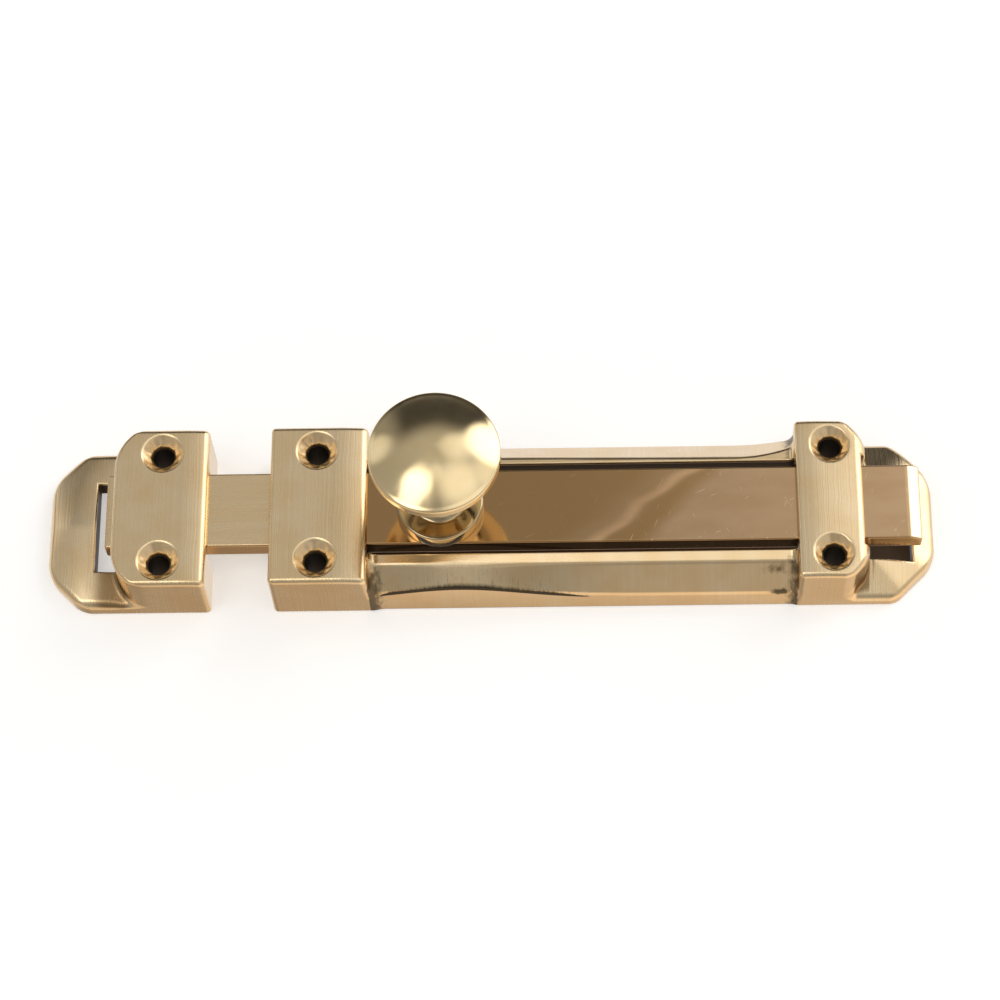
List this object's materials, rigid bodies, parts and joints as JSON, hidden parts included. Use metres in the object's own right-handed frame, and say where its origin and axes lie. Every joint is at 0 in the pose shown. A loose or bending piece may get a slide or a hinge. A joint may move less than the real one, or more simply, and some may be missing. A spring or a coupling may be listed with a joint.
{
  "type": "surface door bolt with keep",
  "caption": "Cast brass surface bolt for a door: a flat bar with a turned round knob slides through a bridged case into a separate keep.",
  "frame": {"origin": "centre of the case's four screw holes, on the flat back that meets the door", "axes": "+Z out of the door towards the knob, +X along the bar in the direction it is drawn back, +Y across the case"},
  "size_m": [0.1996, 0.0382, 0.0466],
  "materials": {
    "case_brass": "cast, linished to a satin shine, polished rails and rounded edges",
    "keep_brass": "cast, linished to a satin shine",
    "bar_brass": "drawn bar, polished, with fine scratches along it",
    "knob_brass": "turned and mirror polished",
    "screw_metal": "plain machine screw"
  },
  "bodies": {
    "fixed_castings": {"case_body": "case_brass", "keep": "keep_brass"},
    "bolt": {"bolt_bar": "bar_brass", "knob": "knob_brass", "knob_screw": "screw_metal"}
  },
  "joints": [
    {"name": "bolt_slide", "type": "slide", "parent": "fixed_castings", "child": "bolt", "axis": [1, 0, 0], "range_m": [-0.0063, 0.056]}
  ]
}
